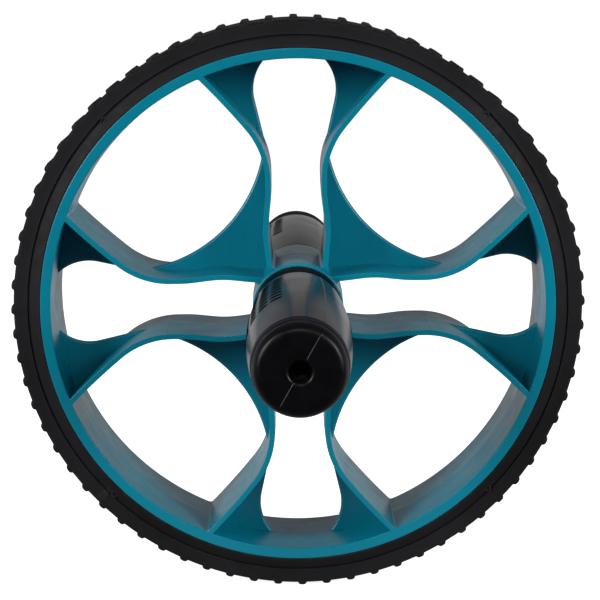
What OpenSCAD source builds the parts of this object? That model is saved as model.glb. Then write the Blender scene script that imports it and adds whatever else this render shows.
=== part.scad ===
// Abdominal exercise wheel: one wide spoked wheel on a through axle, with a
// barrel grip on each side.  The origin is the wheel's centre.  The wheel spins
// about +Y, +Z is up, and the front grip points along -Y.

/* [Wheel] */
// Outside radius over the tread lugs
wheel_r = 100.5; // [98:0.5:104]
// Radius where the tyre's bead meets the rim
bead_r = 90; // [89:0.25:90.5]
// Inside radius of the rim band at its edges
rim_in_r = 86.4; // [86:0.1:86.8]
// How much thicker the rim band is at its middle than at its edges
rim_draft = 0.4; // [0.2:0.05:0.6]
// Half of the rim's width
rim_half = 23; // [20:0.5:25]
// Turn of the wheel at rest, in degrees
spin_phase = 0.9; // [-5:0.1:5]

/* [Spokes] */
// Half gap between the two ribs of a pair at its narrowest
waist_w = 8.9; // [8:0.1:10]
// Distance of the narrowest point from the axis
waist_t = 44; // [42:0.5:46]
// How far the ribs bow apart between hub and waist
belly = 1.15; // [0:0.05:2]
// Distance of the bow's widest point from the axis
belly_t = 26.5; // [25:0.5:28]
// Radius of the curve where the ribs start to flare
flare_r = 30; // [28:0.5:32]
// Slope at which that curve ends, in degrees
flare_a = 39.5; // [38:0.5:41]
// Radius of the long curve that runs on to the rim
flare_r2 = 250; // [220:10:300]
// Thickness of a rib
rib_th = 1.9; // [1.6:0.1:2.4]
// Thickness of the webs at the middle plane
web_th = 2.4; // [1.6:0.1:4]
// Radius of the concave edge of each web near the hub
leaf_r = 50; // [48:0.5:52]
// Distance of that edge's centre from the axis
leaf_c = 86.2; // [85:0.1:87]
// Distance at which the end lobe of the narrow opening starts
bone_t = 71; // [70:0.5:72]
// Half width of the narrow opening there
bone_w = 14.2; // [13.5:0.1:15]
// Slope of the narrow opening's side, in degrees
bone_a = 12.9; // [12:0.1:14]
// Radius of the end lobe
bone_r = 16; // [15:0.5:17]

/* [Hub] */
// Outside radius of the hub tube
hub_r = 16.0; // [15.2:0.1:17]
// Half length of the hub tube
hub_half = 27.5; // [25:0.5:27.5]
// Radius of the hub's bore
hub_bore_r = 13.5; // [13:0.1:13.7]
// Length of each bush
bush_len = 21; // [12:1:24]

/* [Tread] */
// Number of lugs round the tyre
lugs = 72; // [60:1:80]
// Width of a lug
lug_w = 2.7; // [2:0.1:3.2]
// Height of a lug
lug_h = 0.95; // [0.8:0.05:1.2]

/* [Axle] */
// Outside radius of the axle tube
axle_r = 6; // [5.5:0.1:6.2]
// Wall thickness of the axle tube
axle_wall = 1.5; // [1.2:0.1:1.8]
// Radial running clearance between bush and axle
run_c = 0.06; // [0.02:0.01:0.1]
// End play between the hub and each spacer
end_play = 0.2; // [0.1:0.05:0.4]
// Thickness of a spacer's flange
spacer_th = 1.8; // [1.4:0.1:1.8]

/* [Grips] */
// Distance of the grip core's outer end from the wheel's middle plane
core_end = 145; // [144:0.5:148]
// Radius of the core's bare collar
collar_r = 15.3; // [14.8:0.1:15.3]
// Length of the core's bare collar
collar_len = 15.5; // [13:0.5:17]
// Radius of the core inside the sleeve
spigot_r = 12.9; // [12.5:0.1:13]
// Radius of the sleeve at its collar end
sleeve_a = 15.5; // [15.3:0.05:16.2]
// Largest radius of the sleeve
sleeve_max = 16.9; // [16.5:0.1:17.5]
// Radius of the sleeve at its other end
sleeve_b = 14.9; // [14.85:0.05:15.2]
// Direction of the middle of the first dotted panel, in degrees
panel_dir = 150.8; // [120:0.1:180]
// Rows of dots in a panel
dot_rows = 9; // [5:1:9]
// Columns of dots in a panel
dot_cols = 5; // [3:2:5]
// Distance between rows
dot_pitch = 6.1; // [5.5:0.1:6.2]
// Angle between columns, in degrees
dot_step = 17.2; // [16.5:0.1:17.5]

/* [End caps] */
// Radius of the end hole
cap_hole_r = 3.35; // [3:0.05:3.5]
// Largest radius of the cap
cap_r = 14.57; // [14.2:0.01:14.8]
// Radius of the cap's flat face
cap_face_r = 12.76; // [12:0.02:13]
// How far the cap stands out of the core
cap_out = 5.9; // [5.5:0.1:6.5]

/* [Hidden] */
$fn = 96;
teal = [0.0, 0.42, 0.50];
black = [0.06, 0.06, 0.065];
smoke = [0.40, 0.41, 0.44];
steel = [0.70, 0.71, 0.73];
fit_c = 0.02;                                   // gap of a fixed fit
seat_r = bead_r - 1.4;                          // tyre seat in the rim
core_in = hub_half + end_play + spacer_th;      // inner end of a grip core
core_len = core_end - core_in;
sleeve_len = core_len - collar_len;
sock_r = 9;                                     // socket at both core ends
sock_d = 7.5;
axle_half = core_end - sock_d + 0.2;
screw_w = 1.2;                                  // screw washer thickness
flare_t = waist_t + flare_r*sin(flare_a);       // where the flare curve ends
flare_w = waist_w + flare_r*(1 - cos(flare_a));
max_z = sleeve_len*0.47;                        // sleeve's widest point
tread_r = wheel_r - lug_h;

// Slope of the channel's side at distance t from the axis
function chan_a(t) = t < waist_t ? 0
  : t < flare_t ? asin((t - waist_t)/flare_r)
  : asin(sin(flare_a) + (t - flare_t)/flare_r2);
// Half width of the channel between a pair of ribs
function chan(t) = t < waist_t
  ? waist_w + (abs(t - belly_t) < 16
      ? belly*pow((1 + cos(360*(t - belly_t)/32))/2, 1.3) : 0)
  : t < flare_t ? waist_w + flare_r*(1 - cos(chan_a(t)))
  : flare_w + flare_r2*(cos(flare_a) - cos(chan_a(t)));
// Half width of the narrow opening, which a web lines near the rim
function bone(t) = t < bone_t ? bone_w - (bone_t - t)*tan(bone_a)
  : bone_w + bone_r*(cos(asin((t - bone_t)/bone_r - sin(bone_a))) - cos(bone_a));
// Radius of the sleeve at height z above its collar end
function arc_r(h, sag) = (h*h + sag*sag)/(2*sag);
function sleeve_r(z) = z < max_z
  ? sleeve_max - arc_r(max_z, sleeve_max - sleeve_a)
    + sqrt(pow(arc_r(max_z, sleeve_max - sleeve_a), 2) - pow(max_z - z, 2))
  : sleeve_max - arc_r(sleeve_len - max_z, sleeve_max - sleeve_b)
    + sqrt(pow(arc_r(sleeve_len - max_z, sleeve_max - sleeve_b), 2) - pow(z - max_z, 2));

rib_ts = concat([for (i = [0:11]) 11.4 + i*(waist_t - 11.4)/12],
                [for (i = [0:24]) waist_t + i*(81.2 - waist_t)/24]);

// Modules below are drawn with z along the axle towards the front grip,
// x to the right and y up as seen from the front, then stood up.
module stand() rotate([90, 0, 0]) children();

module rib2d() polygon(concat(
  [for (t = rib_ts) [t, chan(t)]],
  [for (i = [len(rib_ts) - 1:-1:0]) let (t = rib_ts[i], a = chan_a(t))
    [t - rib_th*sin(a), chan(t) + rib_th*cos(a)]]));

module channel2d(extra) polygon(concat(
  [for (t = rib_ts) [t, chan(t) + extra]],
  [[100, chan(81.2) + 20 + extra], [100, -chan(81.2) - 20 - extra]],
  [for (i = [len(rib_ts) - 1:-1:0]) [rib_ts[i], -chan(rib_ts[i]) - extra]]));

bone_ts = [for (i = [0:32]) 12 + i*(87 - 12)/32];
module bone2d() polygon(concat(
  [for (t = bone_ts) [t, min(chan(t), bone(t))]],
  [for (i = [len(bone_ts) - 1:-1:0]) [bone_ts[i], -min(chan(bone_ts[i]), bone(bone_ts[i]))]]));

module plate2d() difference() {
  circle(r = rim_in_r + 0.6, $fn = 180);
  circle(r = hub_bore_r + 0.5);
  for (q = [0:3]) rotate(q*90) bone2d();
  for (q = [0:3]) rotate(q*90 + 45) difference() {
    translate([leaf_c, 0]) circle(r = leaf_r, $fn = 180);
    rotate(-45) channel2d(rib_th/2);
    rotate(45) channel2d(rib_th/2);
  }
}

module rim() rotate_extrude($fn = 180) polygon([
  [rim_in_r, -rim_half], [bead_r, -rim_half], [bead_r, -rim_half + 2],
  [seat_r, -rim_half + 2.6], [seat_r, rim_half - 2.6], [bead_r, rim_half - 2],
  [bead_r, rim_half], [rim_in_r, rim_half], [rim_in_r - rim_draft, 0]]);

module wheel_body() color(teal) stand() rotate(spin_phase) {
  rim();
  linear_extrude(web_th, center = true) plate2d();
  for (q = [0:3], s = [-1, 1]) rotate(q*90) scale([1, 1, 1])
    translate([0, 0, -rim_half]) linear_extrude(2*rim_half)
      if (s > 0) rib2d(); else mirror([0, 1]) rib2d();
  difference() {
    cylinder(r = hub_r, h = 2*hub_half, center = true);
    cylinder(r = hub_bore_r, h = 3*hub_half, center = true);
  }
}

// Cross-section of the tyre without its lugs, on the +x side
module tyre2d() polygon(concat(
  [[seat_r + fit_c, -rim_half + 2.75], [bead_r + fit_c, -rim_half + 2.1], [bead_r + fit_c, -rim_half + 0.1]],
  [for (p = [[0, 0.4], [3.9, 2.2], [4.2, 2.9], [4.6, 2.5]]) [bead_r + fit_c + p[0], -rim_half + p[1]]],
  [for (p = [[0.7, 2.6], [0.3, 2.8], [0, 3.4]]) [tread_r - p[0], -rim_half + p[1]]],
  [for (p = [[0, 3.4], [0.3, 2.8], [0.7, 2.6]]) [tread_r - p[0], rim_half - p[1]]],
  [for (p = [[4.6, 2.5], [4.2, 2.9], [3.9, 2.2], [0, 0.4]]) [bead_r + fit_c + p[0], rim_half - p[1]]],
  [[bead_r + fit_c, rim_half - 0.1], [bead_r + fit_c, rim_half - 2.1], [seat_r + fit_c, rim_half - 2.75]]));

// One lug, a bar across the tread that ends flush with the sidewalls
module lug() translate([0, lug_w/2, 0]) rotate([90, 0, 0]) linear_extrude(lug_w)
  polygon([[tread_r - 1.2, -rim_half + 2.7], [wheel_r - 0.4, -rim_half + 2.7], [wheel_r, -rim_half + 3.2],
           [wheel_r, rim_half - 3.2], [wheel_r - 0.4, rim_half - 2.7], [tread_r - 1.2, rim_half - 2.7]]);

module tyre() color(black) stand() rotate(spin_phase) {
  rotate_extrude($fn = 180) tyre2d();
  for (i = [0:lugs - 1]) rotate(90 + i*360/lugs) lug();
}

module bush() difference() {
  translate([0, 0, hub_half - bush_len]) cylinder(r = hub_bore_r - fit_c, h = bush_len);
  translate([0, 0, hub_half - bush_len - 1]) cylinder(r = axle_r + run_c, h = bush_len + 2);
  // relief ring between the two bearing lands
  translate([0, 0, hub_half - bush_len + 5]) cylinder(r = axle_r + 1.2, h = bush_len - 10);
}
module front_bush() color(black) stand() bush();
module rear_bush() color(black) stand() mirror([0, 0, 1]) bush();

module axle_tube() color(steel) stand() difference() {
  cylinder(r = axle_r, h = 2*axle_half, center = true);
  cylinder(r = axle_r - axle_wall, h = 2*axle_half + 2, center = true);
}

module axle_insert() difference() {
  translate([0, 0, axle_half - 16]) cylinder(r = axle_r - axle_wall - fit_c, h = 16);
  translate([0, 0, axle_half - 17]) cylinder(r = 2.55, h = 18);
}
module front_axle_insert() color(steel) stand() axle_insert();
module rear_axle_insert() color(steel) stand() mirror([0, 0, 1]) axle_insert();

// Flanged spacer: its flange faces the hub and its boss plugs the core's inner end
module spacer() difference() {
  union() {
    translate([0, 0, hub_half + end_play]) cylinder(r = collar_r - 0.3, h = spacer_th - fit_c);
    translate([0, 0, core_in - 0.5]) cylinder(r = sock_r - fit_c, h = sock_d);
  }
  translate([0, 0, hub_half]) cylinder(r = axle_r + 0.05, h = 20);
}
module front_spacer() color(black) stand() spacer();
module rear_spacer() color(black) stand() mirror([0, 0, 1]) spacer();

// Grip core, drawn from its collar end upwards
module grip_core() difference() {
  union() {
    cylinder(r = collar_r, h = collar_len);
    cylinder(r = spigot_r, h = core_len);
  }
  translate([0, 0, -1]) cylinder(r = axle_r + 0.03, h = core_len + 2);
  translate([0, 0, -1]) cylinder(r = sock_r, h = sock_d + 1);
  translate([0, 0, core_len - sock_d]) cylinder(r = sock_r, h = sock_d + 1);
}
module front_grip_core() color(black) stand() translate([0, 0, core_in]) grip_core();
module rear_grip_core() color(black) stand() translate([0, 0, -core_end]) grip_core();

dot_z0 = 11.2;                                  // first row above the sleeve's collar end
dot_l = 2.5;                                    // dot size along the grip
dot_w = 3.6;                                    // dot size round the grip
panel_h = (dot_rows - 1)*dot_pitch + 6;
panel_a = (dot_cols - 1)*dot_step + 14;
pocket_r = 14.0;

module at_dots() for (p = [0, 180], c = [0:dot_cols - 1], k = [0:dot_rows - 1])
  rotate(panel_dir + p + (c - (dot_cols - 1)/2)*dot_step)
    translate([0, 0, dot_z0 + k*dot_pitch]) children();
// A slice of a ring: the space that holds one dotted panel
module panel(r0, r1, gap) for (p = [0, 180])
  rotate(panel_dir + p - panel_a/2 + gap)
    rotate_extrude(angle = panel_a - 2*gap) translate([r0, dot_z0 - 3 + gap*0.2])
      square([r1 - r0, panel_h - gap*0.4]);

module barrel2d() polygon(concat(
  [[spigot_r + fit_c, sleeve_len], [spigot_r + fit_c, 0]],
  [for (i = [0:10]) [sleeve_r(i*sleeve_len/10), i*sleeve_len/10]]));
// Sleeve, drawn from its collar end upwards, with a window for every dot
module grip_sleeve() difference() {
  rotate_extrude() barrel2d();
  panel(spigot_r - 1, pocket_r, 0);
  at_dots() translate([16, 0, 0]) cube([6, dot_w + 0.1, dot_l + 0.1], center = true);
}
module front_grip_sleeve() color(smoke) stand() translate([0, 0, core_in + collar_len]) grip_sleeve();
module rear_grip_sleeve() color(smoke) stand() translate([0, 0, -core_end + collar_len]) grip_sleeve();

// Soft dotted panels that sit under the sleeve and show through its windows
module grip_pads() {
  panel(spigot_r + fit_c*2, pocket_r - 0.05, 0.3);
  for (p = [0, 180], c = [0:dot_cols - 1], k = [0:dot_rows - 1])
    let (z = dot_z0 + k*dot_pitch, top = sleeve_r(z) + 0.15)
      rotate(panel_dir + p + (c - (dot_cols - 1)/2)*dot_step)
        translate([13.5, -dot_w/2, z - dot_l/2]) cube([top - 13.5, dot_w, dot_l]);
}
module front_grip_pads() color(black) stand() translate([0, 0, core_in + collar_len]) grip_pads();
module rear_grip_pads() color(black) stand() translate([0, 0, -core_end + collar_len]) grip_pads();

// End cap: a ring that plugs the core's socket and a rounded head with a hole
module end_cap() translate([0, 0, core_end]) rotate_extrude() difference() {
  union() {
    polygon([[0, 0.03], [cap_r - 0.25, 0.03], [cap_r, 0.5], [cap_r, 1.3],
             [cap_r, cap_out], [0, cap_out]]);
    translate([0, -5.6]) square([sock_r - fit_c, 5.8]);
  }
  translate([0, -7]) square([5.6, 7]);
  translate([0, -1]) square([cap_hole_r, 12]);
  translate([0, cap_out]) polygon([[0, 0.1], [cap_hole_r + 0.6, 0.1], [cap_hole_r, -0.5], [0, -0.5]]);
  // rounded shoulder
  difference() {
    translate([cap_face_r, 1.3]) square([5, 10]);
    translate([cap_face_r - (cap_out - 1.3 - (cap_r - cap_face_r)), 1.3])
      circle(r = cap_out - 1.3, $fn = 128);
  }
}
module front_end_cap() color(black) stand() end_cap();
module rear_end_cap() color(black) stand() mirror([0, 0, 1]) end_cap();

// Socket-head screw that holds the grip on the axle
module screw() difference() {
  union() {
    translate([0, 0, axle_half - 14]) cylinder(r = 2.5, h = 15);
    translate([0, 0, axle_half + screw_w]) cylinder(r = 4.25, h = 5);
    translate([0, 0, axle_half]) cylinder(r = 2.5, h = 2);
  }
  translate([0, 0, axle_half + screw_w + 2.4]) cylinder(r = 2.31, h = 5, $fn = 6);
}
module front_screw() color(steel) stand() screw();
module rear_screw() color(steel) stand() mirror([0, 0, 1]) screw();

module screw_washer() difference() {
  translate([0, 0, axle_half + fit_c]) cylinder(r = 8.6, h = screw_w - 2*fit_c);
  translate([0, 0, axle_half - 1]) cylinder(r = 2.7, h = 4);
}
module front_screw_washer() color(steel) stand() screw_washer();
module rear_screw_washer() color(steel) stand() mirror([0, 0, 1]) screw_washer();

wheel_body();
tyre();
front_bush();
rear_bush();
axle_tube();
front_axle_insert();
rear_axle_insert();
front_spacer();
rear_spacer();
front_grip_core();
rear_grip_core();
front_grip_sleeve();
rear_grip_sleeve();
front_grip_pads();
rear_grip_pads();
front_end_cap();
rear_end_cap();
front_screw();
rear_screw();
front_screw_washer();
rear_screw_washer();
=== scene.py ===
import bpy
import math
import numpy as np
from mathutils import Vector, Matrix
from mathutils.geometry import delaunay_2d_cdt


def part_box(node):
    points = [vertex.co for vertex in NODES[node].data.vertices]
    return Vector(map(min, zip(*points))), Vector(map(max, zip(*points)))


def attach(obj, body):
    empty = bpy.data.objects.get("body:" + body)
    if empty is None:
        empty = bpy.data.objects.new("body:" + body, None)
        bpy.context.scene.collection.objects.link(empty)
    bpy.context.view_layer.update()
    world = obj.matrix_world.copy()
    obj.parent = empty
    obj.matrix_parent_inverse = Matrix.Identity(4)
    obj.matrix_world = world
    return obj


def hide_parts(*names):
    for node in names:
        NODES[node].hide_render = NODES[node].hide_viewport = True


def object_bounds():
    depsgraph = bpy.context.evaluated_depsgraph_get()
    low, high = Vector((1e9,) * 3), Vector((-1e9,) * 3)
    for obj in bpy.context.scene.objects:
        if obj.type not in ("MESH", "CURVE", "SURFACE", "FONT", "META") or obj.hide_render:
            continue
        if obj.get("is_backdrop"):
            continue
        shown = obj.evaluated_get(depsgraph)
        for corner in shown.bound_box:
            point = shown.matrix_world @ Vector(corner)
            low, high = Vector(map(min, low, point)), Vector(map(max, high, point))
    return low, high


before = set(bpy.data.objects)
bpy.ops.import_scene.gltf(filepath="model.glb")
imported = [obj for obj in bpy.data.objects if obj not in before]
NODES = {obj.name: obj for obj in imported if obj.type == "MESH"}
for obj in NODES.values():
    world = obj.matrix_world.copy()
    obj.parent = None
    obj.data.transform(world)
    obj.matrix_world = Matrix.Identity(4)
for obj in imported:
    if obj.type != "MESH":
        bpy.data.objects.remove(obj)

cad_lo, cad_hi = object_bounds()
MM = 0.001


def box_mm(node):
    lo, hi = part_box(node)
    return [c / MM for c in lo], [c / MM for c in hi]


# ---------------------------------------------------------------- sizes, read from the frame
_lo, _hi = box_mm("tyre")
WHEEL_R = _hi[2]
_lo, _hi = box_mm("wheel_body")
HUB_HALF = _hi[1]
BEAD_R = _hi[0]
_lo, _hi = box_mm("front_grip_sleeve")
SLEEVE_IN, SLEEVE_OUT = -_hi[1], -_lo[1]          # the front sleeve's ends, as distance in front of the wheel
SLEEVE_MAX = (_hi[2] - _lo[2]) / 2
_lo, _hi = box_mm("rear_grip_sleeve")
REAR_SLEEVE_IN, REAR_SLEEVE_OUT = -_lo[1], -_hi[1]  # both negative: behind the wheel
_lo, _hi = box_mm("front_grip_core")
CORE_IN, CORE_OUT = -_hi[1], -_lo[1]
COLLAR_R = _hi[2]
_lo, _hi = box_mm("front_end_cap")
CAP_FACE = -_lo[1]
CAP_R = _hi[0]
_lo, _hi = box_mm("front_spacer")
SPACER_R = _hi[0]
SPACER_IN = -_hi[1]
_lo, _hi = box_mm("axle_tube")
AXLE_R = _hi[0]
RIM_HALF = 23.0
RIM_IN = BEAD_R - 3.6
SLEEVE_LEN = SLEEVE_OUT - SLEEVE_IN
PHASE = math.radians(0.9)                         # turn of the wheel at rest
PANEL = math.radians(150.8)                       # middle of the first dotted panel
SEAM = math.radians(60.8)                         # mould seam of the grips and caps


# ---------------------------------------------------------------- mesh helpers
def make(name, verts, faces, smooth=38.0):
    me = bpy.data.meshes.new(name)
    me.from_pydata([tuple(v) for v in verts], [], [tuple(f) for f in faces])
    me.validate()
    ob = bpy.data.objects.new(name, me)
    bpy.context.scene.collection.objects.link(ob)
    finish_mesh(ob, smooth)
    return ob


def finish_mesh(ob, smooth=38.0):
    import bmesh
    bm = bmesh.new()
    bm.from_mesh(ob.data)
    bmesh.ops.recalc_face_normals(bm, faces=bm.faces)
    if bm.calc_volume(signed=True) < 0:
        bmesh.ops.reverse_faces(bm, faces=bm.faces)
    bm.to_mesh(ob.data)
    bm.free()
    shade(ob, smooth)


def shade(ob, smooth):
    ob.data.polygons.foreach_set("use_smooth", [True] * len(ob.data.polygons))
    ob.data.set_sharp_from_angle(angle=math.radians(smooth))
    ob.data.update()


def fillet(corners, n=5):
    """A closed outline with each corner (a, b, radius) rounded."""
    out = []
    m = len(corners)
    for i in range(m):
        a, b, rad = corners[i]
        p = np.array([a, b], float)
        q = np.array(corners[i - 1][:2], float) - p
        r = np.array(corners[(i + 1) % m][:2], float) - p
        lq, lr = np.linalg.norm(q), np.linalg.norm(r)
        if rad <= 0 or lq < 1e-6 or lr < 1e-6:
            out.append((a, b))
            continue
        q, r = q / lq, r / lr
        half = math.acos(max(-1, min(1, float(q @ r)))) / 2
        if half > math.radians(88):
            out.append((a, b))
            continue
        t = min(rad / math.tan(half), 0.48 * lq, 0.48 * lr)
        rad = t * math.tan(half)
        c = p + (q + r) / np.linalg.norm(q + r) * (rad / math.sin(half))
        u0, u1 = p + q * t - c, p + r * t - c
        a0 = math.atan2(u0[1], u0[0])
        d = math.atan2(u1[1], u1[0]) - a0
        d = (d + math.pi) % (2 * math.pi) - math.pi
        for k in range(n + 1):
            w = a0 + d * k / n
            out.append((c[0] + rad * math.cos(w), c[1] + rad * math.sin(w)))
    return out


def polar(name, prof, thetas, disp=None, smooth=38.0, turn=0.0):
    """A ring: the closed outline prof of (radius, distance in front) swept round the axle."""
    verts, faces = [], []
    n, m = len(prof), len(thetas)
    for col in thetas:
        th, off = col if isinstance(col, tuple) else (col, 0.0)
        for i, (r, d) in enumerate(prof):
            a = th + turn + math.asin(max(-1.0, min(1.0, off / r)))
            if disp:
                r, d = disp(col, i, r, d)
            verts.append((r * math.cos(a) * MM, -d * MM, r * math.sin(a) * MM))
    for j in range(m):
        k = (j + 1) % m
        for i in range(n):
            l = (i + 1) % n
            faces.append((j * n + i, j * n + l, k * n + l, k * n + i))
    return make(name, verts, faces, smooth)


def ring_angles(n):
    return [2 * math.pi * i / n for i in range(n)]


def refine(values, step):
    """Sorted values with gaps wider than step filled in."""
    values = sorted(set(round(v, 6) for v in values))
    out = []
    for a, b in zip(values, values[1:]):
        k = max(1, math.ceil((b - a) / step))
        out += [a + (b - a) * i / k for i in range(k)]
    out.append(values[-1])
    return out


def union(name, parts, smooth=32.0):
    """One closed mesh from overlapping closed meshes."""
    base = parts[0]
    for other in parts[1:]:
        mod = base.modifiers.new("join", "BOOLEAN")
        mod.operation = "UNION"
        mod.object = other
        mod.solver = SOLVER
    dg = bpy.context.evaluated_depsgraph_get()
    me = bpy.data.meshes.new_from_object(base.evaluated_get(dg), depsgraph=dg)
    for o in parts:
        bpy.data.objects.remove(o)
    me.name = name
    ob = bpy.data.objects.new(name, me)
    bpy.context.scene.collection.objects.link(ob)
    drop_slivers(ob)
    shade(ob, smooth)
    return ob


def drop_slivers(ob, least=200):
    """Removes the tiny separate shells that a cut can leave behind."""
    import bmesh
    bm = bmesh.new()
    bm.from_mesh(ob.data)
    bm.verts.ensure_lookup_table()
    seen = [False] * len(bm.verts)
    junk = []
    for v in bm.verts:
        if seen[v.index]:
            continue
        seen[v.index] = True
        shell, stack = [v], [v]
        while stack:
            for e in stack.pop().link_edges:
                for o in e.verts:
                    if not seen[o.index]:
                        seen[o.index] = True
                        shell.append(o)
                        stack.append(o)
        if len(shell) < least:
            junk += shell
    if junk:
        bmesh.ops.delete(bm, geom=junk, context="VERTS")
    many = [f for f in bm.faces if len(f.verts) > 4]
    bmesh.ops.triangulate(bm, faces=many, quad_method="BEAUTY", ngon_method="BEAUTY")
    bm.to_mesh(ob.data)
    bm.free()


def turned(ob, angle):
    """A copy of a mesh object turned about the axle, with the turn in its vertices."""
    me = ob.data.copy()
    me.transform(Matrix.Rotation(-angle, 4, "Y"))
    new = bpy.data.objects.new(ob.name + "_turned", me)
    bpy.context.scene.collection.objects.link(new)
    return new


SOLVER = "MANIFOLD" if "MANIFOLD" in bpy.types.BooleanModifier.bl_rna.properties["solver"].enum_items else "EXACT"


# ---------------------------------------------------------------- the wheel's ribs and webs
WAIST_W, WAIST_T, BELLY, BELLY_T = 8.9, 44.0, 1.15, 26.5
FLARE_R, FLARE_A, FLARE_R2 = 30.0, math.radians(39.5), 250.0
FLARE_T = WAIST_T + FLARE_R * math.sin(FLARE_A)
FLARE_W = WAIST_W + FLARE_R * (1 - math.cos(FLARE_A))


def slope(t):
    if t < WAIST_T:
        return 0.0
    if t < FLARE_T:
        return math.asin((t - WAIST_T) / FLARE_R)
    return math.asin(math.sin(FLARE_A) + (t - FLARE_T) / FLARE_R2)


def chan(t):
    if t < WAIST_T:
        if abs(t - BELLY_T) < 16:
            return WAIST_W + BELLY * ((1 + math.cos(2 * math.pi * (t - BELLY_T) / 32)) / 2) ** 1.3
        return WAIST_W
    if t < FLARE_T:
        return WAIST_W + FLARE_R * (1 - math.cos(slope(t)))
    return FLARE_W + FLARE_R2 * (math.cos(FLARE_A) - math.cos(slope(t)))


def bone(t):
    t0, w0, a, r = 71.0, 14.2, math.radians(12.9), 16.0
    if t < t0:
        return w0 - (t0 - t) * math.tan(a)
    return w0 + r * (math.cos(math.asin((t - t0) / r - math.sin(a))) - math.cos(a))


def path_normal(f, t):
    d = (f(t + 0.05) - f(t - 0.05)) / 0.1
    l = math.hypot(1, d)
    return (-d / l, 1 / l)


RIB_OFF = 0.82                                     # from the channel's side to the rib's middle


def rib_point(t, off):
    nx, ny = path_normal(chan, t)
    return (t + nx * off, chan(t) + ny * off)


RIB_FRONT, RIB_MID = 0.93, 1.06                    # half thickness at the front edge and at the middle plane
WITNESS_T = 46.5


def rib_half(d):
    """Half thickness of a rib at a distance d from the middle plane."""
    return RIB_MID + (RIB_FRONT - RIB_MID) * abs(d) / RIM_HALF


def rib(q, side):
    """One rib: thickest at the middle plane, with a flat front edge and softly broken corners."""
    half = RIM_HALF - 0.02
    front = []
    for w in np.linspace(0, math.pi / 2, 5):
        front.append((RIB_FRONT - 0.17 + 0.17 * math.cos(w), half - 0.17 + 0.17 * math.sin(w)))
    edge = front + [(-n, d) for n, d in reversed(front)]
    left = [(-rib_half(d), d) for d in (half * 0.66, half * 0.33, 0.28)] + [(-RIB_MID - 0.03, 0.1), (-RIB_MID - 0.03, -0.1)] + \
        [(-rib_half(d), -d) for d in (0.28, half * 0.33, half * 0.66)]
    back = [(-n, -d) for n, d in edge]
    right = [(-n, -d) for n, d in left]
    sec = edge + left + back + right
    ts = sorted([11.6 + (81.6 - 11.6) * i / 84 for i in range(85)] + [WITNESS_T + e for e in (-0.32, -0.16, 0.16, 0.32)])
    verts, faces = [], []
    n = len(sec)
    ang = q * math.pi / 2 + PHASE
    c, s_ = math.cos(ang), math.sin(ang)
    for t in ts:
        lift = 0.07 if abs(t - WITNESS_T) < 0.2 else 0.0
        for off, d in sec:
            if off < -0.7 and abs(d) < half - 1.0:
                off -= lift
            x, y = rib_point(t, RIB_OFF + off)
            y *= side
            verts.append(((x * c - y * s_) * MM, -d * MM, (x * s_ + y * c) * MM))
    m = len(ts)
    for j in range(m - 1):
        for i in range(n):
            l = (i + 1) % n
            faces.append((j * n + i, j * n + l, (j + 1) * n + l, (j + 1) * n + i))
    faces.append(tuple(range(n)))
    faces.append(tuple((m - 1) * n + i for i in range(n - 1, -1, -1)))
    return make(f"rib_{q}_{'a' if side > 0 else 'b'}", verts, faces)


def corner_fillet(q, side, hand, at_rim, f):
    """The rounded inside corner between a rib and the rim (or the hub), following the draft of both."""
    levels = [RIM_HALF - 0.12, RIM_HALF * 0.5, 0.0, -RIM_HALF * 0.5, -RIM_HALF + 0.12]
    ang = q * math.pi / 2 + PHASE
    c, s_ = math.cos(ang), math.sin(ang)
    rings = []
    for d in levels:
        w = rib_half(d) - 0.03
        k = 1 - abs(d) / RIM_HALF
        ring_r = (RIM_IN - 0.36 * k + 0.03) if at_rim else (HUB_R - 0.18 * (1 - k) - 0.03)
        want = ring_r - f if at_rim else ring_r + f
        lo_t, hi_t = (60.0, 84.0) if at_rim else (9.0, 30.0)
        for _ in range(50):
            t = (lo_t + hi_t) / 2
            x, y = rib_point(t, RIB_OFF + hand * (w + f))
            if math.hypot(x, y) < want:
                lo_t = t
            else:
                hi_t = t
        cx, cy = rib_point(t, RIB_OFF + hand * (w + f))
        px, py = rib_point(t, RIB_OFF + hand * w)
        rr = math.hypot(cx, cy)
        qx, qy = cx / rr * ring_r, cy / rr * ring_r
        a0, a1 = math.atan2(py - cy, px - cx), math.atan2(qy - cy, qx - cx)
        da = (a1 - a0 + math.pi) % (2 * math.pi) - math.pi
        arc = [(cx + f * math.cos(a0 + da * i / 7), cy + f * math.sin(a0 + da * i / 7)) for i in range(8)]
        deep = ring_r + (0.9 if at_rim else -0.9)
        ix, iy = rib_point(t, RIB_OFF)
        t2 = t + (1.2 * f if at_rim else -1.2 * f)
        ex, ey = rib_point(t2, RIB_OFF)
        er = math.hypot(ex, ey)
        ex, ey = ex / er * deep, ey / er * deep
        ox, oy = cx / rr * deep, cy / rr * deep
        rings.append([(ix, iy)] + arc + [(ox, oy), (ex, ey)])
    verts, faces = [], []
    n = len(rings[0])
    for d, ring in zip(levels, rings):
        for x, y in ring:
            y *= side
            verts.append(((x * c - y * s_) * MM, -d * MM, (x * s_ + y * c) * MM))
    for j in range(len(levels) - 1):
        for i in range(n):
            l = (i + 1) % n
            faces.append((j * n + i, j * n + l, (j + 1) * n + l, (j + 1) * n + i))
    faces.append(tuple(range(n)))
    faces.append(tuple((len(levels) - 1) * n + i for i in range(n - 1, -1, -1)))
    return make(f"fillet_{q}_{side}_{hand}_{int(at_rim)}", verts, faces)


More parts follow.
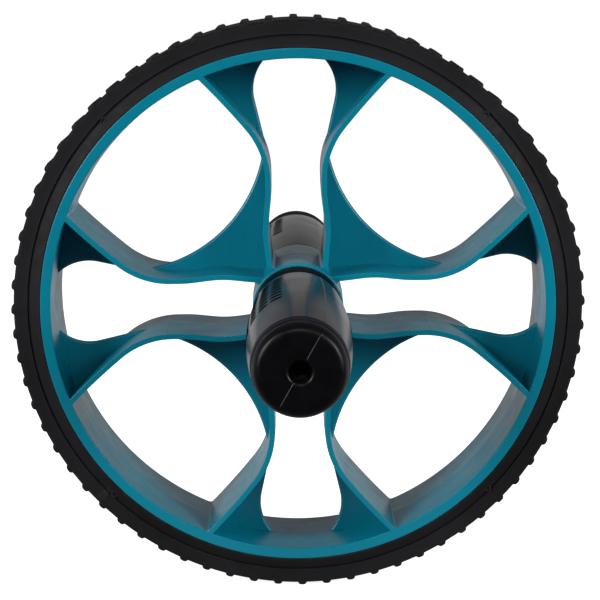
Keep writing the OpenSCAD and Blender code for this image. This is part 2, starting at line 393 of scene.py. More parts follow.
def slab(name, outline, ang, levels, free, hand=1):
    """A thin plate over a closed outline; its free edge is rounded by the (distance, inset) levels."""
    pts = np.array(outline, float)
    free = np.array(free, float)
    area = 0.5 * np.sum(pts[:, 0] * np.roll(pts[:, 1], -1) - np.roll(pts[:, 0], -1) * pts[:, 1])
    if area < 0:
        pts, free = pts[::-1], free[::-1]
    tang = np.roll(pts, -1, 0) - np.roll(pts, 1, 0)
    tang /= np.maximum(np.linalg.norm(tang, axis=1), 1e-9)[:, None]
    held = pts[free == 0]
    near = np.array([np.min(np.hypot(held[:, 0] - x, held[:, 1] - y)) for x, y in pts])
    inward = np.stack([-tang[:, 1], tang[:, 0]], 1) * (free * np.minimum(1.0, near / 1.5))[:, None]
    c, s_ = math.cos(ang), math.sin(ang)
    def place(x, y, d):
        y *= hand
        return ((x * c - y * s_) * MM, -d * MM, (x * s_ + y * c) * MM)

    verts, faces = [], []
    n = len(pts)
    for d, inset in levels:
        verts += [place(x, y, d) for x, y in pts + inward * inset]
    m = len(levels)
    for j in range(m - 1):
        for i in range(n):
            l = (i + 1) % n
            faces.append((j * n + i, j * n + l, (j + 1) * n + l, (j + 1) * n + i))
    # the flat faces are filled with even triangles
    rim = pts + inward * levels[0][1]
    grid = []
    step = 2.6
    for iy, y in enumerate(np.arange(rim[:, 1].min(), rim[:, 1].max(), step * 0.866)):
        for x in np.arange(rim[:, 0].min() + (iy % 2) * step / 2, rim[:, 0].max(), step):
            inside, k = False, len(rim) - 1
            for i in range(len(rim)):
                if (rim[i, 1] > y) != (rim[k, 1] > y) and \
                        x < (rim[k, 0] - rim[i, 0]) * (y - rim[i, 1]) / (rim[k, 1] - rim[i, 1]) + rim[i, 0]:
                    inside = not inside
                k = i
            if inside and np.min(np.hypot(rim[:, 0] - x, rim[:, 1] - y)) > step * 0.55:
                grid.append((float(x), float(y)))
    flat = [Vector((float(x), float(y))) for x, y in rim] + [Vector(g) for g in grid]
    out = delaunay_2d_cdt(flat, [(i, (i + 1) % n) for i in range(n)], [], 1, 1e-6)
    ids = []
    plain = any(not orig for orig in out[3])
    for orig in out[3]:
        ids.append(orig[0] if orig else 0)
    if plain:
        faces.append(tuple(range(n)))
        faces.append(tuple((m - 1) * n + i for i in range(n - 1, -1, -1)))
        return make(name, verts, faces)
    for level, (d, _) in ((0, levels[0]), (m - 1, levels[-1])):
        base = len(verts)
        verts += [place(g[0], g[1], d) for g in grid]
        for tri in out[2]:
            f = []
            for v in tri:
                k = ids[v]
                f.append(level * n + k if k < n else base + k - n)
            faces.append(tuple(f) if level == 0 else tuple(reversed(f)))
    return make(name, verts, faces)


WEB = 1.2
WEB_LEVELS = [(WEB, 0.95), (WEB - 0.05, 0.62), (WEB - 0.17, 0.36), (WEB - 0.36, 0.17), (WEB - 0.62, 0.05), (0.3, 0.0), (0.12, -0.07),
              (-0.12, -0.07), (-0.3, 0.0), (-WEB + 0.62, 0.05), (-WEB + 0.36, 0.17), (-WEB + 0.17, 0.36), (-WEB + 0.05, 0.62), (-WEB, 0.95)]
LEAF_R, LEAF_C = 50.0, 86.2


def inner_web(q):
    """The web of one diagonal, from the hub out to its concave edge, in the frame of opening q."""
    def centre(t):
        return rib_point(t, RIB_OFF)

    # where the concave edge meets the rib of opening q (upper side) in that opening's frame
    cx, cy = LEAF_C * math.cos(math.pi / 4), LEAF_C * math.sin(math.pi / 4)
    ts = [13.0 + i * 0.25 for i in range(220)]
    inside = [t for t in ts if math.hypot(centre(t)[0] - cx, centre(t)[1] - cy) > LEAF_R]
    t_end = max(t for t in inside if t < 60)
    side_a = [centre(t) for t in np.linspace(13.0, t_end, 30)]
    side_b = [(y, x) for x, y in side_a]           # mirrored in the diagonal
    a0 = math.atan2(side_a[-1][1] - cy, side_a[-1][0] - cx)
    a1 = math.atan2(side_b[-1][1] - cy, side_b[-1][0] - cx)
    while a0 < 0:
        a0 += 2 * math.pi
    while a1 < 0:
        a1 += 2 * math.pi
    arc = [(cx + LEAF_R * math.cos(a), cy + LEAF_R * math.sin(a)) for a in np.linspace(a0, a1, 44)[1:-1]]
    ra = math.hypot(*side_a[0])
    h0, h1 = math.atan2(side_b[0][1], side_b[0][0]), math.atan2(side_a[0][1], side_a[0][0])
    hub = [(14.4 * math.cos(a), 14.4 * math.sin(a)) for a in np.linspace(h0, h1, 12)[1:-1]]
    outline = side_a + arc + side_b[::-1] + hub
    free = [0] * len(side_a) + [1] * len(arc) + [0] * (len(side_b) + len(hub))
    return slab(f"inner_web_{q}", outline, q * math.pi / 2 + PHASE, WEB_LEVELS, free)


def outer_web(q, side):
    """The web between one rib's flare and the rim, its edge lining the narrow opening."""
    ts = np.linspace(53.5, 81.0, 36)
    a = [rib_point(t, RIB_OFF) for t in ts]
    rr = RIM_IN + 0.6
    tb, tries = 84.0, 0
    while math.hypot(tb, bone(tb)) < rr and tries < 400:
        tb += 0.01
        tries += 1
    b = [(t, bone(t)) for t in np.linspace(53.5, tb, 40)]
    h0, h1 = math.atan2(a[-1][1], a[-1][0]), math.atan2(b[-1][1], b[-1][0])
    arc = [(rr * math.cos(w), rr * math.sin(w)) for w in np.linspace(h0, h1, 14)[1:-1]]
    outline = a + arc + b[::-1]
    free = [0] * (len(a) + len(arc)) + [1] * len(b)
    free[-1] = 0
    return slab(f"outer_web_{q}_{'a' if side > 0 else 'b'}", outline, q * math.pi / 2 + PHASE, WEB_LEVELS, free, side)


def build_wheel_body():
    seat = BEAD_R - 1.4
    rim = fillet([
        (RIM_IN, RIM_HALF, 0.45), (BEAD_R, RIM_HALF, 0.35), (BEAD_R, RIM_HALF - 2.0, 0.2), (seat, RIM_HALF - 2.6, 0.2),
        (seat, -RIM_HALF + 2.6, 0.2), (BEAD_R, -RIM_HALF + 2.0, 0.2), (BEAD_R, -RIM_HALF, 0.35), (RIM_IN, -RIM_HALF, 0.45),
        (RIM_IN - 0.36, -0.34, 0), (RIM_IN - 0.40, -0.1, 0), (RIM_IN - 0.40, 0.1, 0), (RIM_IN - 0.36, 0.34, 0)], 4)
    parts = [polar("rim", rim, ring_angles(288), turn=PHASE)]
    bore = HUB_BORE
    hub = fillet([
        (HUB_R - 0.18, HUB_HALF, 0.35), (bore, HUB_HALF, 0.25), (bore, -HUB_HALF, 0.25), (HUB_R - 0.18, -HUB_HALF, 0.35),
        (HUB_R, -0.34, 0), (HUB_R + 0.06, -0.14, 0), (HUB_R + 0.06, 0.14, 0), (HUB_R, 0.34, 0)], 4)
    parts.append(polar("hub", hub, ring_angles(144), turn=PHASE))
    quarter = [rib(0, 1), rib(0, -1), inner_web(0), outer_web(0, 1), outer_web(0, -1)]
    for side in (1, -1):
        quarter.append(corner_fillet(0, side, 1, True, 1.3))
        quarter.append(corner_fillet(0, side, -1, False, 0.9))
    # a faint ring left by an ejector pin on both faces of the inner web
    w = PHASE + math.pi / 4
    cx, cz = 26.5 * math.cos(w), 26.5 * math.sin(w)
    prof = [(4.72, WEB - 0.3), (4.76, WEB + 0.05), (4.86, WEB + 0.07), (4.96, WEB + 0.05), (5.0, WEB - 0.3)]
    for back in (1, -1):
        verts, faces, n, k = [], [], 48, len(prof)
        for j in range(n):
            t = 2 * math.pi * j / n
            for r, d in prof:
                verts.append(((cx + r * math.cos(t)) * MM, -d * back * MM, (cz + r * math.sin(t)) * MM))
        for j in range(n):
            l = (j + 1) % n
            for i in range(k):
                e = (i + 1) % k
                faces.append((j * k + i, j * k + e, l * k + e, l * k + i))
        quarter.append(make(f"mark_{back}", verts, faces))
    first = union("quarter", quarter)
    parts += [first] + [turned(first, q * math.pi / 2) for q in (1, 2, 3)]
    body = union("wheel_moulding", parts, 28.0)
    mod = body.modifiers.new("normals", "WEIGHTED_NORMAL")
    mod.mode = "FACE_AREA"
    mod.keep_sharp = True
    mod.weight = 50
    return body


HUB_R, HUB_BORE = 16.0, 13.5


def build_tyre():
    """The tyre with its lugs as one swept mesh: each outline point has a floor and a lug position."""
    f = 0.04
    R = WHEEL_R
    side = [  # bead to tread edge, front side: (r, s)
        (BEAD_R + f, 20.9), (BEAD_R + f, 22.35), (BEAD_R + 0.12, 22.6), (BEAD_R + 0.4, 22.66), (BEAD_R + 1.0, 22.42),
        (BEAD_R + 2.4, 21.7), (BEAD_R + 3.6, 21.05), (BEAD_R + 3.85, 20.86), (BEAD_R + 4.0, 20.55), (BEAD_R + 4.1, 20.15),
        (BEAD_R + 4.25, 20.0), (BEAD_R + 4.42, 20.08), (BEAD_R + 4.55, 20.4), (BEAD_R + 4.72, 20.55), (BEAD_R + 5.0, 20.5),
        (BEAD_R + 6.4, 20.46)]
    floor = [(R - 2.3, 20.46), (R - 1.78, 20.44), (R - 1.66, 20.40), (R - 1.57, 20.28), (R - 1.16, 19.76), (R - 1.05, 19.6), (R - 0.98, 19.3),
             (R - 0.96, 18.8), (R - 0.95, 17.0), (R - 0.95, 8.0), (R - 0.95, 0.0)]
    top = [(R - 2.3, 20.46), (R - 1.5, 20.46), (R - 0.95, 20.42), (R - 0.6, 20.28), (R - 0.35, 20.04), (R - 0.16, 19.7), (R - 0.05, 19.2),
           (R, 18.6), (R, 17.0), (R, 8.0), (R, 0.0)]
    inner = [(BEAD_R - 1.37, 20.2)]
    base = inner + side + floor
    lug = inner + side + top
    base = base + [(r, -s) for r, s in reversed(base[:-1])]
    lug = lug + [(r, -s) for r, s in reversed(lug[:-1])]
    n = len(base)
    count = 72
    pitch = 2 * math.pi / count
    # across a lug: (offset, height at the middle of the tread, height at the rounded ends)
    half = [(0.45, 1.0, 0.985), (0.85, 1.0, 0.90), (1.12, 0.97, 0.74), (1.3, 0.86, 0.52), (1.46, 0.16, 0.22), (1.64, 0.0, 0.0)]
    offs = [(-2.95, 0, 0)] + [(-o, a, b) for o, a, b in reversed(half)] + [(0, 1.0, 1.0)] + half + [(2.95, 0, 0), (WHEEL_R * pitch / 2, 0, 0)]
    verts, faces = [], []
    cols = []
    for i in range(count):
        for o, mid, end in offs:
            cols.append((math.pi / 2 + PHASE + i * pitch + o / WHEEL_R, mid, end))
    for th, mid, end in cols:
        c, s_ = math.cos(th), math.sin(th)
        for (r0, d0), (r1, d1) in zip(base, lug):
            m = mid + (end - mid) * min(1.0, max(0.0, (abs(d1) - 17.0) / 2.0))
            r, d = r0 + (r1 - r0) * m, d0 + (d1 - d0) * m
            verts.append((r * c * MM, -d * MM, r * s_ * MM))
    M = len(cols)
    for j in range(M):
        k = (j + 1) % M
        for i in range(n):
            l = (i + 1) % n
            faces.append((j * n + i, j * n + l, k * n + l, k * n + i))
    tyre = make("tyre_rubber", verts, faces, 33.0)
    # four small moulding vents in the sidewall, on the diagonals, front and back
    parts = []
    vv, ff = [], []
    for back in (1, -1):
        for q in range(4):
            w = PHASE + math.pi / 4 + q * math.pi / 2
            cx, cz = (BEAD_R + 3.3) * math.cos(w), (BEAD_R + 3.3) * math.sin(w)
            prof = [(1.25, 20.2), (1.25, 21.35), (1.1, 21.5), (0.75, 21.5), (0.62, 21.3), (0.62, 20.9), (0.3, 20.85), (0.05, 20.85), (0.05, 20.2)]
            b0, k, n = len(vv), len(prof), 24
            for j in range(n):
                t = 2 * math.pi * j / n
                for r, d in prof:
                    vv.append(((cx + r * math.cos(t)) * MM, -d * back * MM, (cz + r * math.sin(t)) * MM))
            for j in range(n):
                l = (j + 1) % n
                for i in range(k):
                    e = (i + 1) % k
                    ff.append((b0 + j * k + i, b0 + j * k + e, b0 + l * k + e, b0 + l * k + i))
    vents = make("tyre_vents", vv, ff, 30.0)
    return tyre, vents


# ---------------------------------------------------------------- grips
MAX_Z = SLEEVE_LEN * 0.47
SL_A, SL_B = 15.5, 14.9


def arc_r(h, sag):
    return (h * h + sag * sag) / (2 * sag)


def sleeve_r(z):
    if z < MAX_Z:
        R = arc_r(MAX_Z, SLEEVE_MAX - SL_A)
        return SLEEVE_MAX - R + math.sqrt(R * R - (MAX_Z - z) ** 2)
    R = arc_r(SLEEVE_LEN - MAX_Z, SLEEVE_MAX - SL_B)
    return SLEEVE_MAX - R + math.sqrt(R * R - (z - MAX_Z) ** 2)


DOT_Z0, DOT_PITCH, DOT_STEP, DOT_ROWS, DOT_COLS = 11.2, 6.1, math.radians(17.2), 9, 5
DOT_L, DOT_W = 2.5, 3.6
DOT_A = [PANEL + p + (c - 2) * DOT_STEP for p in (0, math.pi) for c in range(DOT_COLS)]
DOT_Z = [DOT_Z0 + k * DOT_PITCH for k in range(DOT_ROWS)]


def grip_sleeve(name, z0):
    """z0 is where the collar end lies; the sleeve runs forward from it."""
    hz, ha = DOT_L / 2 + 0.05, (DOT_W / 2 + 0.05) / 16.5
    e, ea = 0.16, 0.16 / 16.5
    zs = [0.0, SLEEVE_LEN]
    for z in DOT_Z:
        zs += [z - hz - e, z - hz, z, z + hz, z + hz + e]
    zs = refine([1.1, SLEEVE_LEN - 2.6] + zs[2:], 2.4)
    angs = []
    for a in DOT_A:
        angs += [a - ha - ea, a - ha, a, a + ha, a + ha + ea]
    for s in (SEAM, SEAM + math.pi):
        angs += [s - 0.022, s - 0.0125, s - 0.004, s + 0.004, s + 0.0125, s + 0.022]
    angs = [a % (2 * math.pi) for a in angs]
    angs = sorted(angs)
    angs = refine(angs + [angs[0] + 2 * math.pi], math.radians(3.2))[:-1]
    # outline: outer surface, rounded lips, then the bore back
    outer = [(sleeve_r(z), z) for z in zs]
    lip0 = [(SL_A - 1.15, 0.0), (SL_A - 0.55, 0.02), (SL_A - 0.28, 0.12), (SL_A - 0.1, 0.32), (SL_A - 0.02, 0.6)]
    lip1 = [(sleeve_r(SLEEVE_LEN - e) + up, SLEEVE_LEN - e) for e, up in ((2.35, -0.10), (2.1, -0.13), (1.85, -0.06), (1.6, 0.02), (1.3, 0.04), (1.0, 0.0))]
    lip1 += [(SL_B - 0.07, SLEEVE_LEN - 0.7), (SL_B - 0.25, SLEEVE_LEN - 0.42), (SL_B - 0.5, SLEEVE_LEN - 0.2), (SL_B - 0.82, SLEEVE_LEN - 0.06),
             (SL_B - 1.25, SLEEVE_LEN)]
    bore = [(12.95, SLEEVE_LEN - 0.4), (12.95, 0.4)]
    prof = lip0 + outer + lip1 + bore
    first, last = len(lip0), len(lip0) + len(outer)
    seams = (SEAM, SEAM + math.pi)

    def disp(th, i, r, d):
        if first <= i < last:
            z = d
            near = min(abs((th - s + math.pi) % (2 * math.pi) - math.pi) for s in seams)
            if near < 0.006:
                r += 0.16
            for a in DOT_A:
                da = abs((th - a + math.pi) % (2 * math.pi) - math.pi)
                if da <= ha + 1e-4:
                    if any(abs(z - q) <= hz + 1e-4 for q in DOT_Z):
                        r -= 0.6
                    break
        return r, d + z0

    return polar(name, prof, angs, disp, 40.0)


def grip_pads(name, z0):
    """The soft dots: one rounded block in each recess of the sleeve."""
    vv, ff = [], []
    g = 7
    for a in DOT_A:
        for z in DOT_Z:
            b0 = len(vv)
            us = np.linspace(-1, 1, g)
            for layer in (0, 1):
                for u in us:
                    for v in us:
                        if layer == 0:
                            k = max(abs(u), abs(v))
                            h = 0.16 - 0.34 * max(0.0, (k - 0.55) / 0.45) ** 2.2
                        else:
                            h = -0.95
                        # squircle the outline a little so that the corners are rounded
                        sq = 1 - 0.06 * (u * u) * (v * v)
                        zz = z + v * sq * DOT_L / 2
                        aa = a + u * sq * (DOT_W / 2) / 16.5
                        r = sleeve_r(zz) + h
                        vv.append((r * math.cos(aa) * MM, -(zz + z0) * MM, r * math.sin(aa) * MM))
            def idx(l, i, j):
                return b0 + l * g * g + i * g + j
            for i in range(g - 1):
                for j in range(g - 1):
                    ff.append((idx(0, i, j), idx(0, i, j + 1), idx(0, i + 1, j + 1), idx(0, i + 1, j)))
                    ff.append((idx(1, i, j), idx(1, i + 1, j), idx(1, i + 1, j + 1), idx(1, i, j + 1)))
            for i in range(g - 1):
                ff.append((idx(0, i, 0), idx(0, i + 1, 0), idx(1, i + 1, 0), idx(1, i, 0)))
                ff.append((idx(0, i, g - 1), idx(1, i, g - 1), idx(1, i + 1, g - 1), idx(0, i + 1, g - 1)))
                ff.append((idx(0, 0, i), idx(1, 0, i), idx(1, 0, i + 1), idx(0, 0, i + 1)))
                ff.append((idx(0, g - 1, i), idx(0, g - 1, i + 1), idx(1, g - 1, i + 1), idx(1, g - 1, i)))
    return make(name, vv, ff, 45.0)


def grip_core(name, z0):
    n = CORE_OUT - CORE_IN
    col = 15.5
    prof = fillet([
        (9.0, 0.0, 0.2), (COLLAR_R, 0.0, 0.5), (COLLAR_R, col, 0.3), (12.9, col, 0.0), (12.9, n, 0.4), (9.0, n, 0.2),
        (9.0, n - 7.5, 0), (AXLE_R + 0.04, n - 7.5, 0), (AXLE_R + 0.04, 7.5, 0), (9.0, 7.5, 0)], 4)
    angs = refine([0.0, SEAM - 0.01, SEAM, SEAM + 0.01, SEAM + math.pi - 0.01, SEAM + math.pi, SEAM + math.pi + 0.01, 2 * math.pi], math.radians(3))[:-1]

    def disp(th, i, r, d):
        if r > COLLAR_R - 0.01 and min(abs(th - SEAM), abs(th - SEAM - math.pi)) < 0.004:
            r += 0.04
        return r, d + z0
    return polar(name, prof, angs, disp, 35.0)


def spacer(name, sign):
    prof = fillet([
        (AXLE_R + 0.06, SPACER_IN, 0.2), (SPACER_R, SPACER_IN, 0.35), (SPACER_R, CORE_IN - 0.02, 0.25), (8.98, CORE_IN - 0.02, 0),
        (8.98, CORE_IN + 6.9, 0.3), (AXLE_R + 0.06, CORE_IN + 6.9, 0.2)], 4)
    return polar(name, [(r, d * sign) for r, d in prof], ring_angles(96), None, 35.0)


def end_cap(name, sign):
    o = CORE_OUT
    face = CAP_FACE
    top = [  # the plug, the rim, the rounded shoulder, the face and the hole
        (8.98, o - 5.5), (8.98, o + 0.04), (CAP_R - 1.1, o + 0.04), (CAP_R - 0.6, o + 0.14), (CAP_R - 0.25, o + 0.4),
        (CAP_R - 0.05, o + 0.8), (CAP_R, o + 1.35), (CAP_R - 0.05, o + 2.0), (CAP_R - 0.16, o + 2.7), (CAP_R - 0.34, o + 3.4),
        (CAP_R - 0.58, o + 4.05), (CAP_R - 0.86, o + 4.6), (CAP_R - 1.16, o + 5.02), (CAP_R - 1.5, o + 5.36),
        (CAP_R - 1.9, o + 5.62), (CAP_R - 2.4, o + 5.79), (CAP_R - 3.0, face - 0.02), (CAP_R - 3.7, face),
        (9.0, face), (6.6, face), (4.8, face), (4.45, face - 0.015), (4.15, face - 0.07), (3.9, face - 0.17), (3.68, face - 0.33), (3.5, face - 0.55),
        (3.39, face - 0.85), (3.35, face - 1.2), (3.35, o + 2.0), (3.35, o + 0.1), (3.45, o - 0.02), (5.6, o - 0.02), (5.6, o - 5.3), (5.8, o - 5.5)]
    cols = refine([SEAM + 0.07, SEAM + math.pi - 0.07], math.radians(3)) + \
        [(SEAM + math.pi, e) for e in (-0.45, -0.2, -0.07, 0.07, 0.2, 0.45)] + \
        refine([SEAM + math.pi + 0.07, SEAM + 2 * math.pi - 0.07], math.radians(3)) + \
        [(SEAM + 2 * math.pi, e) for e in (-0.45, -0.2, -0.07, 0.07, 0.2, 0.45)]
    # near the hole the columns beside the seam keep their distance from it
    def disp(col, i, r, d):
        if isinstance(col, tuple) and abs(col[1]) < 0.1 and 5 <= i <= 24:
            if i >= 14:
                d += 0.085
            else:
                r += 0.07
        return r, d * sign

    return polar(name, top, cols, disp, 30.0)


# ---------------------------------------------------------------- materials
def node_mat(name):
    m = bpy.data.materials.new(name)
    m.use_nodes = True
    nt = m.node_tree
    nt.nodes.clear()
    out = nt.nodes.new("ShaderNodeOutputMaterial")
    b = nt.nodes.new("ShaderNodeBsdfPrincipled")
    nt.links.new(b.outputs[0], out.inputs[0])
    return m, nt, b


def noise(nt, coord, scale, detail=3.0, rough=0.5, stretch=None):
    n = nt.nodes.new("ShaderNodeTexNoise")
    n.inputs["Scale"].default_value = scale
    n.inputs["Detail"].default_value = detail
    n.inputs["Roughness"].default_value = rough
    if stretch:
        mp = nt.nodes.new("ShaderNodeMapping")
        mp.inputs["Scale"].default_value = stretch
        nt.links.new(coord, mp.inputs["Vector"])
        coord = mp.outputs[0]
    nt.links.new(coord, n.inputs["Vector"])
    return n.outputs["Fac"]


def remap(nt, value, a, b, c, d, clamp=True):
    n = nt.nodes.new("ShaderNodeMapRange")
    n.clamp = clamp
    for k, v in zip(("From Min", "From Max", "To Min", "To Max"), (a, b, c, d)):
        n.inputs[k].default_value = v
    nt.links.new(value, n.inputs["Value"])
    return n.outputs["Result"]


def mix_col(nt, fac, a, b, mode="MIX"):
    n = nt.nodes.new("ShaderNodeMix")
    n.data_type = "RGBA"
    n.blend_type = mode
    for sock, v in ((n.inputs[0], fac), (n.inputs[6], a), (n.inputs[7], b)):
        if isinstance(v, (int, float)):
            sock.default_value = v
        elif isinstance(v, (tuple, list)):
            sock.default_value = (*v, 1.0) if len(v) == 3 else v
        else:
            nt.links.new(v, sock)
    return n.outputs[2]


def finish_material(name, col, rough, wear_col, wear=0.35, grain=900.0, grain_bump=0.05, wave=12.0, var=0.10,
                    spec=0.5, coat=0.0, coat_rough=0.1, metallic=0.0, scratches=0.0, stretch=None, probe=False):
    """A moulded or machined surface: slow colour drift, fine grain, uneven gloss and worn edges."""
    m, nt, b = node_mat(name)
    tc = nt.nodes.new("ShaderNodeTexCoord").outputs["Object"]
    slow = noise(nt, tc, wave, 2.0)
    fine = noise(nt, tc, grain, 3.0, 0.6, stretch)
    mid = noise(nt, tc, wave * 9, 4.0, 0.6)
    dark = tuple(c * (1 - var) for c in col)
    light = tuple(min(1.0, c * (1 + var)) for c in col)
    c1 = mix_col(nt, remap(nt, slow, 0.3, 0.7, 0, 1), dark, light)
    geo = nt.nodes.new("ShaderNodeNewGeometry")
    edge = remap(nt, geo.outputs["Pointiness"], 0.51, 0.55, 0.0, 1.0)
    if probe:                                       # cut meshes: only where a real edge lies close by
        bev = nt.nodes.new("ShaderNodeBevel")
        bev.samples = 2
        bev.inputs["Radius"].default_value = 0.0005
        dot = nt.nodes.new("ShaderNodeVectorMath"); dot.operation = "DOT_PRODUCT"
        nt.links.new(bev.outputs[0], dot.inputs[0]); nt.links.new(geo.outputs["Normal"], dot.inputs[1])
        em = nt.nodes.new("ShaderNodeMath"); em.operation = "MULTIPLY"
        nt.links.new(remap(nt, dot.outputs["Value"], 0.995, 0.93, 0.0, 1.0), em.inputs[0])
        nt.links.new(edge, em.inputs[1])
        edge = em.outputs[0]
    mul = nt.nodes.new("ShaderNodeMath"); mul.operation = "MULTIPLY"
    nt.links.new(edge, mul.inputs[0])
    nt.links.new(remap(nt, mid, 0.42, 0.62, 0.0, wear), mul.inputs[1])
    c2 = mix_col(nt, mul.outputs[0], c1, wear_col)
    nt.links.new(c2, b.inputs["Base Color"])
    r = nt.nodes.new("ShaderNodeMath"); r.operation = "ADD"
    nt.links.new(remap(nt, mid, 0.25, 0.75, rough * 0.82, rough * 1.22), r.inputs[0])
    m2 = nt.nodes.new("ShaderNodeMath"); m2.operation = "MULTIPLY"
    nt.links.new(mul.outputs[0], m2.inputs[0]); m2.inputs[1].default_value = 0.15
    nt.links.new(m2.outputs[0], r.inputs[1])
    nt.links.new(r.outputs[0], b.inputs["Roughness"])
    b.inputs["Metallic"].default_value = metallic
    b.inputs["Specular IOR Level"].default_value = spec
    b.inputs["Coat Weight"].default_value = coat
    b.inputs["Coat Roughness"].default_value = coat_rough
    bump = nt.nodes.new("ShaderNodeBump")
    bump.inputs["Strength"].default_value = grain_bump
    bump.inputs["Distance"].default_value = 0.0003
    nt.links.new(fine, bump.inputs["Height"])
    last = bump
    if scratches:
        sc = noise(nt, tc, 40.0, 2.0, 0.7, (1.0, 60.0, 1.0) if scratches > 0 else None)
        b2 = nt.nodes.new("ShaderNodeBump")
        b2.inputs["Strength"].default_value = abs(scratches)
        b2.inputs["Distance"].default_value = 0.0002
        nt.links.new(sc, b2.inputs["Height"])
        nt.links.new(bump.outputs[0], b2.inputs["Normal"])
        last = b2
    nt.links.new(last.outputs[0], b.inputs["Normal"])
    return m


TEAL = finish_material("rim_plastic_teal", (0.0, 0.185, 0.27), 0.30, (0.03, 0.30, 0.38), wear=0.25, grain=700, grain_bump=0.02,
                       wave=14, var=0.05, spec=0.38, probe=True)
RUBBER = finish_material("tyre_rubber_black", (0.0092, 0.0082, 0.0096), 0.60, (0.030, 0.029, 0.030), wear=0.4, grain=900, grain_bump=0.30,
                         wave=26, var=0.24, spec=0.14)
SMOKE = finish_material("sleeve_gloss_smoke", (0.0115, 0.0088, 0.0145), 0.21, (0.06, 0.06, 0.07), wear=0.2, grain=1200, grain_bump=0.006,
                        wave=10, var=0.05, spec=0.12)
CAPM = finish_material("cap_black_satin", (0.0018, 0.0017, 0.0024), 0.34, (0.02, 0.02, 0.022), wear=0.2, grain=900, grain_bump=0.02,
                       wave=30, var=0.12, spec=0.19)
CORE = finish_material("core_black_plastic", (0.0022, 0.0022, 0.0028), 0.50, (0.03, 0.03, 0.032), wear=0.3, grain=900, grain_bump=0.03,
                       wave=25, var=0.12, spec=0.02)
PAD = finish_material("pad_black_rubber", (0.003, 0.003, 0.0035), 0.65, (0.012, 0.012, 0.012), wear=0.3, grain=900, grain_bump=0.2,
                      wave=40, var=0.15, spec=0.0)
NYLON = finish_material("bush_black_nylon", (0.006, 0.006, 0.007), 0.40, (0.03, 0.03, 0.03), wear=0.3, grain=900, grain_bump=0.05,
                        wave=30, var=0.12, spec=0.4)
STEEL = finish_material("axle_drawn_steel", (0.60, 0.60, 0.62), 0.24, (0.8, 0.8, 0.82), wear=0.4, grain=900, grain_bump=0.05,
                        wave=18, var=0.06, metallic=1.0, scratches=0.12)
# near-black steel for the screws: painted shade, so that they read as dark as the deep hole in the end cap
SCREW_SHADE_DARK = finish_material("screw_steel_painted_shade", (0.020, 0.020, 0.022), 0.42, (0.12, 0.12, 0.12), wear=0.4, grain=900, grain_bump=0.08,
                          wave=60, var=0.12, metallic=0.6)


def dress(ob, mat, body, slot_name, *nodes):
    ob.data.materials.clear()
    ob.data.materials.append(mat)
    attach(ob, body)
    if nodes:
        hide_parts(*nodes)
    return ob


wheel = dress(build_wheel_body(), TEAL, "wheel", "rim_plastic", "wheel_body")
tyre, vents = build_tyre()
dress(tyre, RUBBER, "wheel", "tyre_rubber", "tyre")
dress(vents, RUBBER, "wheel", "tyre_rubber")
for side, z_core, z_sleeve, sign in (("front", CORE_IN, SLEEVE_IN, 1), ("rear", -CORE_OUT, REAR_SLEEVE_OUT, -1)):
    dress(grip_core(f"{side}_core", z_core), CORE, "handle_bar", "core_plastic", f"{side}_grip_core")
    dress(grip_sleeve(f"{side}_sleeve", z_sleeve), SMOKE, "handle_bar", "sleeve_plastic", f"{side}_grip_sleeve")
    dress(grip_pads(f"{side}_dots", z_sleeve), PAD, "handle_bar", "pad_rubber", f"{side}_grip_pads")
    dress(end_cap(f"{side}_cap", sign), CAPM, "handle_bar", "cap_plastic", f"{side}_end_cap")
    dress(spacer(f"{side}_hub_spacer", sign), NYLON, "handle_bar", "bush_nylon", f"{side}_spacer")

for names, mat, slot_name in ((("axle_tube", "front_axle_insert", "rear_axle_insert"), STEEL, "axle_steel"),
                              (("front_bush", "rear_bush"), NYLON, "bush_nylon"),
                              (("front_screw", "rear_screw", "front_screw_washer", "rear_screw_washer"), SCREW_SHADE_DARK, "screw_steel")):
    for n in names:
        o = NODES[n]
        o.data.materials.clear()
        o.data.materials.append(mat)

# ---------------------------------------------------------------- stage, light and camera
scene = bpy.context.scene
lo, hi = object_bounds()


def floor():
    """A plain white sweep. The camera sees it lit from above; reflections see a dimmer studio."""
    me = bpy.data.meshes.new("floor")
    s, z = 30.0, cad_lo[2] - 0.0002
    me.from_pydata([(-s, -s, z), (s, -s, z), (s, s, z), (-s, s, z)], [], [(0, 1, 2, 3)])
    ob = bpy.data.objects.new("floor", me)
    scene.collection.objects.link(ob)
    m, nt, b = node_mat("floor_pale")
    tc = nt.nodes.new("ShaderNodeTexCoord").outputs["Object"]
    c = mix_col(nt, remap(nt, noise(nt, tc, 3.0, 2.0), 0.3, 0.7, 0, 1), (0.90, 0.90, 0.90), (0.92, 0.92, 0.92))
    nt.links.new(c, b.inputs["Base Color"])
    b.inputs["Roughness"].default_value = 0.7
    b.inputs["Specular IOR Level"].default_value = 0.1
    b.inputs["Emission Color"].default_value = (1, 1, 1, 1)
    b.inputs["Emission Strength"].default_value = 0.93
    out = b.outputs[0].links[0].to_node
    em = nt.nodes.new("ShaderNodeEmission")
    sep = nt.nodes.new("ShaderNodeSeparateXYZ")
    nt.links.new(tc, sep.inputs[0])
    nt.links.new(remap(nt, sep.outputs["Y"], -0.35, 0.25, FLOOR_FRONT, FLOOR_BACK), em.inputs["Strength"])
    lp = nt.nodes.new("ShaderNodeLightPath")
    mx = nt.nodes.new("ShaderNodeMixShader")
    nt.links.new(lp.outputs["Is Camera Ray"], mx.inputs[0])
    nt.links.new(em.outputs[0], mx.inputs[1])
    nt.links.new(b.outputs[0], mx.inputs[2])
    nt.links.new(mx.outputs[0], out.inputs[0])
    ob.data.materials.append(m)
    ob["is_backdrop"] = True
    return ob


FLOOR_FRONT, FLOOR_BACK = 0.03, 0.55
floor()

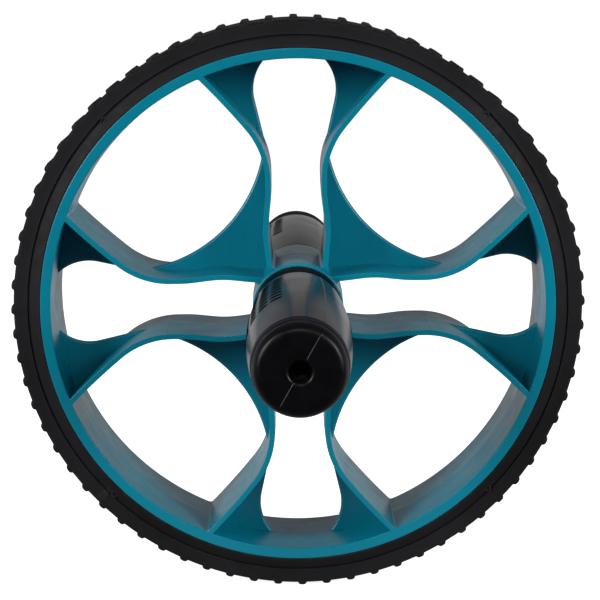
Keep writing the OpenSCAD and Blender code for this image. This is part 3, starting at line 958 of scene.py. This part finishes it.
world = bpy.data.worlds.new("studio")
scene.world = world
world.use_nodes = True
nt = world.node_tree
nt.nodes.clear()
wo = nt.nodes.new("ShaderNodeOutputWorld")
bg = nt.nodes.new("ShaderNodeBackground")
nt.links.new(bg.outputs[0], wo.inputs[0])
tcw = nt.nodes.new("ShaderNodeTexCoord")
sep = nt.nodes.new("ShaderNodeSeparateXYZ")
nt.links.new(tcw.outputs["Generated"], sep.inputs[0])
# seen directly it is white; for light and reflections it is brighter above and dim on the camera's side
up = remap(nt, sep.outputs["Z"], 0.08, 0.5, 0.38, 0.10)
front = remap(nt, sep.outputs["Y"], -0.6, 0.1, 0.06, 1.0)
prod = nt.nodes.new("ShaderNodeMath"); prod.operation = "MULTIPLY"
nt.links.new(up, prod.inputs[0]); nt.links.new(front, prod.inputs[1])
lpw = nt.nodes.new("ShaderNodeLightPath")
mxw = nt.nodes.new("ShaderNodeMix"); mxw.data_type = "FLOAT"
nt.links.new(lpw.outputs["Is Camera Ray"], mxw.inputs[0])
nt.links.new(prod.outputs[0], mxw.inputs[2])
mxw.inputs[3].default_value = 1.0
nt.links.new(mxw.outputs[0], bg.inputs["Strength"])
bg.inputs["Color"].default_value = (1.0, 1.0, 1.0, 1.0)


def area(name, loc, target, size, power, size_y=None):
    l = bpy.data.lights.new(name, "AREA")
    l.energy = power
    l.size = size
    if size_y:
        l.shape = "RECTANGLE"
        l.size_y = size_y
    o = bpy.data.objects.new(name, l)
    o.location = loc
    o.rotation_euler = (Vector(target) - Vector(loc)).to_track_quat("-Z", "Y").to_euler()
    scene.collection.objects.link(o)
    return o


area("front_left", (-1.5, -1.15, 0.69), (0, 0, 0), 0.8, 31.5)
area("front_right", (1.5, -1.15, 0.62), (0, 0, 0), 0.8, 27.0)
area("top", (0.0, -1.5, 1.2), (0, 0, 0), 0.6, 5.0)

cam_data = bpy.data.cameras.new("camera")
cam = bpy.data.objects.new("camera", cam_data)
scene.collection.objects.link(cam)
CAM_D, CAM_EL, CAM_AZ, CAM_F = 0.8523, math.radians(8.4), math.radians(-0.28), 2380.0
back = Vector((math.sin(CAM_AZ) * math.cos(CAM_EL), -math.cos(CAM_AZ) * math.cos(CAM_EL), math.sin(CAM_EL)))
cam.location = back * CAM_D
cam.rotation_euler = (-back).to_track_quat("-Z", "Y").to_euler()
cam_data.sensor_width = 36.0
cam_data.lens = CAM_F / 600.0 * 36.0
cam_data.shift_x = 2.2 / 600.0
cam_data.shift_y = -2.4 / 600.0
cam_data.clip_start, cam_data.clip_end = 0.05, 100.0
scene.camera = cam
scene.view_settings.view_transform = "Standard"
scene.view_settings.look = "None"
